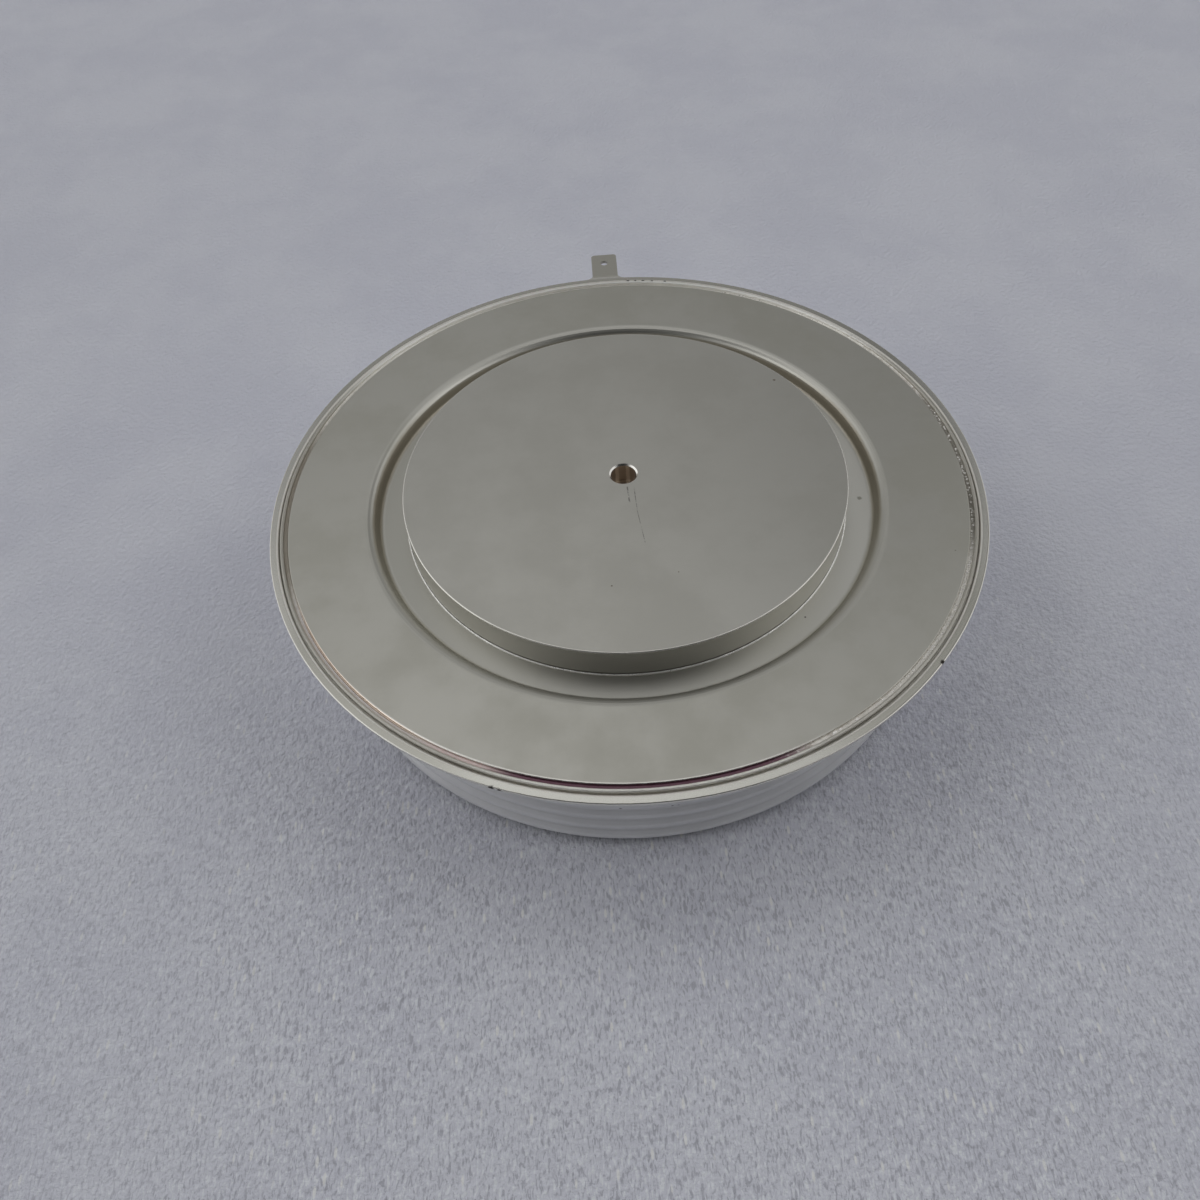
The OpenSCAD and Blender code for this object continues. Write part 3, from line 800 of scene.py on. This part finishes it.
def makeWeldGrain():
    bandFrom = lidReach - beadLook["width"] - bandLook["width"]
    rings = []
    for outward in turnedWays(weldLook["steps"]):
        ring = []
        for row, (out, rise) in enumerate(grainSection):
            base = outward * (bandFrom + out) + Vector((0, 0, lidFlat + rise))
            coarse = noise.noise(base / weldLook["coarse"])
            fine = noise.noise(base / weldLook["fine"])
            lift = weldLook["coarseRise"] * coarse + weldLook["fineRise"] * fine
            lean = 1 - 2 * row / (len(grainSection) - 1)      # walls grow toward the middle of the band
            ring.append(base + outward * lean * lift * weldLook["leanShare"] + Vector((0, 0, lift)))
        rings.append(ring)
    piece = makeSkin("weldGrain", rings, True)
    piece.data.materials.append(dressWeldGrain(bandFrom))
    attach(piece, "root")


# Braze fillet: the thin line of braze metal where the lid's pan meets the pole
brazeLook = {
    "steps": 1200,                  # of the turn
    "radius": poleReach + 0.03,
    "width": 0.20,
    "rise": 0.18,
    "rows": 7,
    "swell": 0.2,
    "swellScale": 30,
    "clean": (0.99, 0.98, 0.94),
    "clouded": (0.92, 0.91, 0.87),
    "roughness": (0.24, 0.36),
    "grainSize": 0.15,
    "grainDepth": 0.02,
    "cloudSize": 4.0,
}


def makeBrazeFillet():
    rings = []
    for outward in turnedWays(brazeLook["steps"]):
        swell = 1 + brazeLook["swell"] * noise.noise(outward * brazeLook["swellScale"])
        ring = []
        for row in range(brazeLook["rows"]):
            angle = math.pi / 2 * row / (brazeLook["rows"] - 1)
            out = brazeLook["width"] * swell * math.sin(angle)
            rise = brazeLook["rise"] * swell * math.cos(angle)
            ring.append(outward * (brazeLook["radius"] + out) + Vector((0, 0, panFloor + rise)))
        rings.append(ring)
    piece = makeSkin("brazeFillet", rings, False)
    piece.data.materials.append(closeFinish(startFinish("brazeSilver", brazeLook)))
    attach(piece, "root")


# Weld flange: stamped sheet, its rim leaning a little outwards, with a painted highlight along its edge and
# painted light and shade on parts of its rim and groove
flangeLook = {
    "clean": (0.585, 0.57, 0.51),
    "clouded": (0.52, 0.505, 0.445),
    "roughness": (0.28, 0.38),
    "grainSize": 0.14,
    "grainDepth": 0.004,
    "cloudSize": 9.0,
    "speckSpacing": 5.0,
    "speckSize": 0.12,
    "speckShare": 0.15,
    "speckColor": (0.20, 0.17, 0.14),
    "spotColor": (0.05, 0.045, 0.04),
    "spots": [((41.4, -37.5, 25.2), 0.5), ((4.2, 54.6, 25.3), 0.35), ((5.6, 54.5, 25.3), 0.25),
              ((7.0, 54.3, 25.3), 0.35), ((8.7, 54.0, 25.3), 0.3), ((11.1, 53.5, 25.3), 0.35),
              ((-20.6, -52.1, 25.0), 0.55), ((-19.55, -52.5, 24.95), 0.46)],
    "rimWidth": 1.4,
    "rimBlur": 0.1,
    "lean": 0.09,
    "leanPast": 1.0,
    "rimColor": (0.57, 0.556, 0.50),
    "rimRoughness": 0.21,
    # A painted highlight along the rim's outer edge
    "edgeHighlightOut": (-0.1, 0.2),      # from and to, past the rim's reach
    "edgeHighlightEdge": (0.12, 0.04, 0.5),
    "edgeHighlightColor": (0.80, 0.78, 0.72),
    "edgeHighlightRoughness": 0.2,
    # A painted dark reflection: a thin dark line just inside the rim's edge at the right of the front
    "darkReflectionColor": (0.26, 0.25, 0.22),
    "darkReflectionRoughness": 0.5,
    "darkReflectionOut": (-0.23, -0.17),
    "darkReflectionEdge": (0.04, 0.03, 0.6),
    "darkReflectionAcross": (26, 36),
    "darkReflectionAlong": (-5, -15),
    # The inner bend's light colour is a painted highlight
    "innerOut": (-0.2, 0.3),        # past the rim's inner edge
    "innerEdge": (0.08, 0.05, 0.5),
    "innerColor": (0.80, 0.775, 0.72),
    "innerRoughness": 0.5,
    # The front, front side and side tones are painted light and shade: the rim darker at the left and right
    # of the front, lighter at the front and at the far sides
    "frontSideColor": (0.49, 0.478, 0.425),
    "frontSideFrom": 20,
    "frontSideTo": 34,
    "frontSideAlong": (-8, -20),
    "sideColor": (0.67, 0.655, 0.60),
    "sideFrom": 47,
    "sideTo": 54,
    "frontColor": (0.66, 0.648, 0.592),
    "frontFrom": (-46, -52),
    # The groove's light colours are painted light that lifts the shade in the groove, more at the sides
    "grooveEdge": (0.12, 0.12, 0.4),
    "grooveColor": (0.94, 0.88, 0.82),
    "grooveRoughness": 0.6,
    "grooveSideColor": (0.97, 0.94, 0.88),
    "grooveSideFrom": 42,
    "grooveSideTo": 52,
}
tabLook = {
    "along": (57.0, 100.0),
    "edge": (0.8, 0.6, 1.5),
    "rimAlong": (-100.0, 56.0),
    "rimBlur": 1.0,
    "color": (0.47, 0.455, 0.405),
    "roughness": 0.42,
}


# A tone of the flange on one side of it, way 1 being the right and -1 the left
def layerSide(finish, mask, name, way):
    side = sideMask(finish, "Across", way * flangeLook[name + "From"], way * flangeLook[name + "To"])
    layer(finish, both(finish, mask, side), flangeLook[name + "Color"])


def dressFlange():
    finish = startFinish("flangeNickel", flangeLook)
    addSpecks(finish, flangeLook)
    step = rimReach - flangeLook["rimWidth"]
    # Painted light in the groove, more at the sides
    groove = bandMask(finish, "Radius", 0.0, step, *flangeLook["grooveEdge"])
    layer(finish, groove, flangeLook["grooveColor"], flangeLook["grooveRoughness"])
    for way in (1, -1):
        layerSide(finish, groove, "grooveSide", way)
    rim = bandMask(finish, "Radius", step, rimReach, flangeLook["rimBlur"])
    leanTo = rimReach + flangeLook["leanPast"]
    fall = ramp(finish["tree"], finish["place"]["Radius"], step, leanTo, 1.0, 0.0)
    layer(finish, both(finish, rim, fall), height=flangeLook["lean"])
    layer(finish, rim, flangeLook["rimColor"], flangeLook["rimRoughness"])
    # Painted light and shade on the rim, by side
    layer(finish, both(finish, rim, sideMask(finish, "Along", *flangeLook["frontFrom"])),
          flangeLook["frontColor"])
    frontRim = both(finish, rim, sideMask(finish, "Along", *flangeLook["frontSideAlong"]))
    for way in (1, -1):
        layerSide(finish, frontRim, "frontSide", way)
        layerSide(finish, rim, "side", way)
    # A painted highlight on the rim's inner bend
    innerBend = ringMask(finish, step, flangeLook["innerOut"], flangeLook["innerEdge"])
    layer(finish, innerBend, flangeLook["innerColor"], flangeLook["innerRoughness"])
    # A painted highlight along the rim's outer edge, off the tab
    edgeHighlight = ringMask(finish, rimReach, flangeLook["edgeHighlightOut"], flangeLook["edgeHighlightEdge"])
    onRim = bandMask(finish, "Along", *tabLook["rimAlong"], tabLook["rimBlur"])
    layer(finish, both(finish, edgeHighlight, onRim), flangeLook["edgeHighlightColor"], flangeLook["edgeHighlightRoughness"])
    # A painted dark reflection just inside the rim's edge at the right of the front
    darkReflection = ringMask(finish, rimReach, flangeLook["darkReflectionOut"], flangeLook["darkReflectionEdge"])
    atRight = both(finish, sideMask(finish, "Across", *flangeLook["darkReflectionAcross"]),
                   sideMask(finish, "Along", *flangeLook["darkReflectionAlong"]))
    layer(finish, both(finish, darkReflection, atRight), flangeLook["darkReflectionColor"], flangeLook["darkReflectionRoughness"])
    onTab = bandMask(finish, "Along", *tabLook["along"], *tabLook["edge"])
    layer(finish, onTab, tabLook["color"], tabLook["roughness"])
    addSpots(finish, flangeLook["spots"], flangeLook["spotColor"])
    dress("weld_flange", closeFinish(finish))


# Ceramic: white alumina under a thin glaze, a little greyer and rougher in its grooves
ceramicLook = {
    "metallic": 0.0,
    "glaze": 0.35,
    "glazeRoughness": 0.18,
    "clean": (0.80, 0.80, 0.815),
    "clouded": (0.745, 0.745, 0.76),
    "roughness": (0.34, 0.46),
    "grainSize": 0.25,
    "grainDepth": 0.004,
    "cloudSize": 12.0,
    "speckSpacing": 4.0,
    "speckSize": 0.10,
    "speckShare": 0.12,
    "speckColor": (0.30, 0.28, 0.26),
    "spotColor": (0.08, 0.07, 0.07),
    "spots": [((-16.4, -46.6, 5.4), 0.3), ((-4.1, -49.2, 12.0), 0.28), ((3.2, -49.3, 11.9), 0.28),
              ((4.1, -49.2, 11.9), 0.24)],
    # The valleys between the ribs are a little greyer and rougher
    "valleyDepth": 0.8,
    "valleyEdge": (0.3, 0.2, 1.0),
    "valleyColor": (0.72, 0.72, 0.73),
    "valleyRoughness": 0.5,
    "brazeWidth": 0.25,
    "brazeEdge": (0.05, 0.12, 0.5),
    "brazeColor": (0.42, 0.40, 0.37),
    "brazeRoughness": 0.45,
}


def dressCeramic():
    finish = startFinish("glazedAlumina", ceramicLook)
    # A little greyer and rougher inside the ribs' reach
    valleyTo = ceramicReach - ceramicLook["valleyDepth"]
    valley = bandMask(finish, "Radius", 0.0, valleyTo, *ceramicLook["valleyEdge"])
    layer(finish, valley, ceramicLook["valleyColor"], ceramicLook["valleyRoughness"])
    addSpecks(finish, ceramicLook)
    for edge, way in ((ceramicTop, -1), (ceramicBottom, 1)):
        low, high = sorted((edge, edge + way * ceramicLook["brazeWidth"]))
        braze = bandMask(finish, "Height", low, high, *ceramicLook["brazeEdge"])
        layer(finish, braze, ceramicLook["brazeColor"], ceramicLook["brazeRoughness"])
    addSpots(finish, ceramicLook["spots"], ceramicLook["spotColor"])
    dress("ceramic_ring", closeFinish(finish))


# Small plated pieces of the gate connection, and the anode flange
platedLook = {
    "clean": (0.62, 0.60, 0.54),
    "clouded": (0.54, 0.52, 0.46),
    "roughness": (0.30, 0.42),
    "grainSize": 0.14,
    "grainDepth": 0.004,
    "cloudSize": 5.0,
    "speckSpacing": 4.0,
    "speckSize": 0.10,
    "speckShare": 0.15,
    "speckColor": (0.20, 0.17, 0.14),
}


def dressPlated():
    for node in ("anode_flange", "gate_tube", "gate_collar", "gate_blade"):
        finish = startFinish(node + "Nickel", platedLook)
        addSpecks(finish, platedLook)
        dress(node, closeFinish(finish))


# Pieces sealed inside
insideLooks = {
    "anode_plate": {
        "clean": (0.50, 0.50, 0.51), "clouded": (0.44, 0.44, 0.46), "roughness": (0.35, 0.45),
        "grainSize": 0.10, "grainDepth": 0.006, "cloudSize": 6.0,
    },
    "cathode_plate": {
        "clean": (0.50, 0.50, 0.51), "clouded": (0.44, 0.44, 0.46), "roughness": (0.35, 0.45),
        "grainSize": 0.10, "grainDepth": 0.006, "cloudSize": 6.0,
    },
    "silicon_wafer": {
        "clean": (0.22, 0.24, 0.30), "clouded": (0.18, 0.20, 0.27), "roughness": (0.12, 0.18),
        "grainSize": 0.08, "grainDepth": 0.001, "cloudSize": 6.0,
    },
    "contact_foil": {
        "clean": (0.85, 0.84, 0.80), "clouded": (0.78, 0.77, 0.72), "roughness": (0.22, 0.32),
        "grainSize": 0.30, "grainDepth": 0.010, "cloudSize": 6.0,
    },
    "edge_seal": {
        "clean": (0.55, 0.16, 0.10), "clouded": (0.48, 0.13, 0.08), "roughness": (0.50, 0.65),
        "grainSize": 0.20, "grainDepth": 0.008, "cloudSize": 6.0, "metallic": 0.0,
    },
    "locating_ring": {
        "clean": (0.83, 0.83, 0.80), "clouded": (0.78, 0.78, 0.74), "roughness": (0.40, 0.52),
        "grainSize": 0.25, "grainDepth": 0.006, "cloudSize": 6.0, "metallic": 0.0,
    },
    "gate_cup": {
        "clean": (0.84, 0.78, 0.65), "clouded": (0.79, 0.72, 0.58), "roughness": (0.38, 0.50),
        "grainSize": 0.20, "grainDepth": 0.005, "cloudSize": 6.0, "metallic": 0.0,
    },
    "gate_spring": {
        "clean": (0.56, 0.56, 0.57), "clouded": (0.48, 0.48, 0.50), "roughness": (0.25, 0.36),
        "grainSize": 0.06, "grainDepth": 0.004, "cloudSize": 6.0,
    },
    "gate_pin": {
        "clean": (0.78, 0.66, 0.42), "clouded": (0.70, 0.58, 0.36), "roughness": (0.22, 0.32),
        "grainSize": 0.08, "grainDepth": 0.003, "cloudSize": 6.0,
    },
    "gate_wire": {
        "clean": (0.80, 0.79, 0.76), "clouded": (0.72, 0.71, 0.68), "roughness": (0.25, 0.34),
        "grainSize": 0.07, "grainDepth": 0.003, "cloudSize": 6.0,
    },
    "wire_sleeve": {
        "clean": (0.80, 0.80, 0.77), "clouded": (0.75, 0.75, 0.71), "roughness": (0.42, 0.55),
        "grainSize": 0.15, "grainDepth": 0.005, "cloudSize": 6.0, "metallic": 0.0,
    },
}


def dressInside():
    for node, look in insideLooks.items():
        dress(node, closeFinish(startFinish(node + "Finish", look)))


# Floor: a plain pale sheet of soft foam
floorLook = {
    "half": 2.5,              # of its width, in metres
    "metallic": 0.0,
    "clean": (0.815, 0.822, 0.90),
    "clouded": (0.76, 0.767, 0.855),
    "roughness": (0.80, 0.92),
    "grainSize": 0.9,
    "grainDepth": 0.12,
    "cloudSize": 34.0,
    "fibreWidth": 0.36,
    "fibreLength": 1.15,
    "fibreWarp": 0.8,
    "fibreColor": (0.93, 0.95, 1.0),
    "fibreShows": (0.54, 0.68),
    "gapColor": (0.56, 0.565, 0.63),
    "gapShows": (0.34, 0.48),
    "fibreFrom": (30.0, -55.0),
    "sideFrom": (45, 80),
    "sideFibres": 0.65,
    "tuftSize": 3.0,
    "tuftMore": 0.22,
    "looseSpacing": 3.0,
    "looseSize": 0.8,
    "looseShare": 0.3,
    "looseColor": (1.0, 1.0, 1.0),
}


def makeFloor():
    half = floorLook["half"]
    corners = [(-half, -half, 0), (half, -half, 0), (half, half, 0), (-half, half, 0)]
    mesh = bpy.data.meshes.new("floor")
    mesh.from_pydata(corners, [], [(0, 1, 2, 3)])
    floor = bpy.data.objects.new("floor", mesh)
    scene.collection.objects.link(floor)
    finish = startFinish("paleFoam", floorLook)
    tree = finish["tree"]
    position = finish["place"]["Position"]
    stretch = (1 / floorLook["fibreWidth"], 1 / floorLook["fibreLength"], 1.0)
    lengthwise = vectorCalc(tree, "MULTIPLY", position, stretch)
    strands = addNode(tree, "TexNoise", {"Vector": lengthwise, "Scale": 1.0, "Detail": 2.0,
                                         "Distortion": floorLook["fibreWarp"]}).outputs[0]
    tufts = addNode(tree, "TexNoise", {"Vector": position, "Scale": 1 / floorLook["tuftSize"],
                                       "Detail": 1.0}).outputs[0]
    tufted = calc(tree, "MULTIPLY", calc(tree, "SUBTRACT", tufts, noiseMiddle), floorLook["tuftMore"])
    fibres = calc(tree, "ADD", strands, tufted)
    front = sideMask(finish, "Along", *floorLook["fibreFrom"])
    loose = speckMask(finish, floorLook, "loose", lengthwise)
    aside = calc(tree, "ABSOLUTE", finish["place"]["Across"])
    near = both(finish, front, ramp(tree, aside, *floorLook["sideFrom"], 1.0, floorLook["sideFibres"]))
    layer(finish, both(finish, near, ramp(tree, fibres, *floorLook["fibreShows"])), floorLook["fibreColor"])
    layer(finish, both(finish, near, ramp(tree, fibres, *floorLook["gapShows"], 1.0, 0.0)),
          floorLook["gapColor"])
    layer(finish, both(finish, near, loose), floorLook["looseColor"])
    mesh.materials.append(closeFinish(finish))


# Room: grey walls under a bright ceiling, with a shade over the camera's side and soft patches of light.
# Its pairs and its ceiling are parts of a direction, from -1 to 1, and its angles are in degrees
roomLook = {
    "walls": 0.34,
    "leftMore": 0.10,
    "frontLess": 0.20,
    "frontAlong": (-0.15, -0.65),
    "ceiling": 0.47,
    "ceilingFrom": 0.60,
    "ceilingTo": 0.90,
    "shade": 0.92,
    "shadeMiddle": 0.05,
    "shadeAcross": (0.40, 0.82),
    "shadeAlong": (0.12, 0.30),
    "shadeUp": (0.28, 0.50),
    "darkest": 0.02,
    "tint": (0.98, 0.99, 1.0),
    # Each patch: the way to its middle, the angles where it is full and gone, and how much light it adds,
    # or takes where the number is below zero
    "patches": [((-1.0, 0.25, 0.25), 20, 48, 0.60), ((0.97, 0.32, 0.35), 20, 46, 0.52),
                ((0.60, -0.15, 0.78), 10, 24, 0.60), ((-0.62, -0.2, 0.76), 8, 22, 0.36),
                ((0.27, 0.53, 0.80), 4, 18, -0.20), ((0.36, 0.68, 0.64), 4, 16, -0.10),
                ((-0.36, 0.68, 0.64), 4, 16, -0.08)],
}


def makeRoom():
    world = bpy.data.worlds.new("room")
    scene.world = world
    world.use_nodes = True
    tree = world.node_tree
    direction = addNode(tree, "TexCoord").outputs["Generated"]
    way = addNode(tree, "SeparateXYZ", {0: direction}).outputs
    lean = calc(tree, "MULTIPLY", way["X"], -roomLook["leftMore"])
    light = calc(tree, "ADD", lean, roomLook["walls"])
    low, full = roomLook["frontAlong"]
    light = calc(tree, "SUBTRACT", light, ramp(tree, way["Y"], full, low, roomLook["frontLess"], 0.0))
    high = ramp(tree, way["Z"], roomLook["ceilingFrom"], roomLook["ceilingTo"], 0.0, roomLook["ceiling"])
    light = calc(tree, "ADD", light, high)
    aside = calc(tree, "ABSOLUTE", calc(tree, "SUBTRACT", way["X"], roomLook["shadeMiddle"]))
    shade = calc(tree, "MULTIPLY", ramp(tree, aside, *roomLook["shadeAcross"], 1.0, 0.0),
                 ramp(tree, way["Y"], *roomLook["shadeAlong"], 1.0, 0.0))
    shade = calc(tree, "MULTIPLY", shade, ramp(tree, way["Z"], *roomLook["shadeUp"], 0.0, roomLook["shade"]))
    light = calc(tree, "MULTIPLY", light, calc(tree, "SUBTRACT", 1.0, shade))
    for toward, full, gone, strength in roomLook["patches"]:
        near = vectorCalc(tree, "DOT_PRODUCT", direction, tuple(Vector(toward).normalized()))
        patch = ramp(tree, near, math.cos(math.radians(gone)), math.cos(math.radians(full)), 0.0, strength)
        light = calc(tree, "ADD", light, patch)
    light = calc(tree, "MAXIMUM", light, roomLook["darkest"])
    feed(tree, tree.nodes["Background"].inputs["Strength"], light)
    feed(tree, tree.nodes["Background"].inputs["Color"], roomLook["tint"])


# Camera: places in mm, the roll in degrees, the clip start in metres
cameraLook = {
    "lens": 33.08,
    "clipStart": 0.005,
    "place": (-3.7, -123.2, 150.7),
    "aim": (-4.95, -22.4, 25.3),
    "roll": 4.575,
}


def placeCamera():
    data = bpy.data.cameras.new("camera")
    data.lens = cameraLook["lens"]
    data.clip_start = cameraLook["clipStart"]
    camera = bpy.data.objects.new("camera", data)
    scene.collection.objects.link(camera)
    camera.location = Vector(cameraLook["place"]) * mm
    toward = Vector(cameraLook["aim"]) * mm - camera.location
    roll = Quaternion((0, 0, 1), -math.radians(cameraLook["roll"]))
    camera.rotation_mode = "QUATERNION"
    camera.rotation_quaternion = toward.to_track_quat("-Z", "Y") @ roll
    scene.camera = camera


placeCamera()
makeRoom()
makeFloor()
print("camera, room and floor made")
dressPoles()
dressLid()
makeWeldGrain()
makeBrazeFillet()
dressFlange()
dressCeramic()
print("outside dressed")
dressPlated()
dressInside()
print("gate lead and inside dressed")

scene.view_settings.view_transform = "Standard"
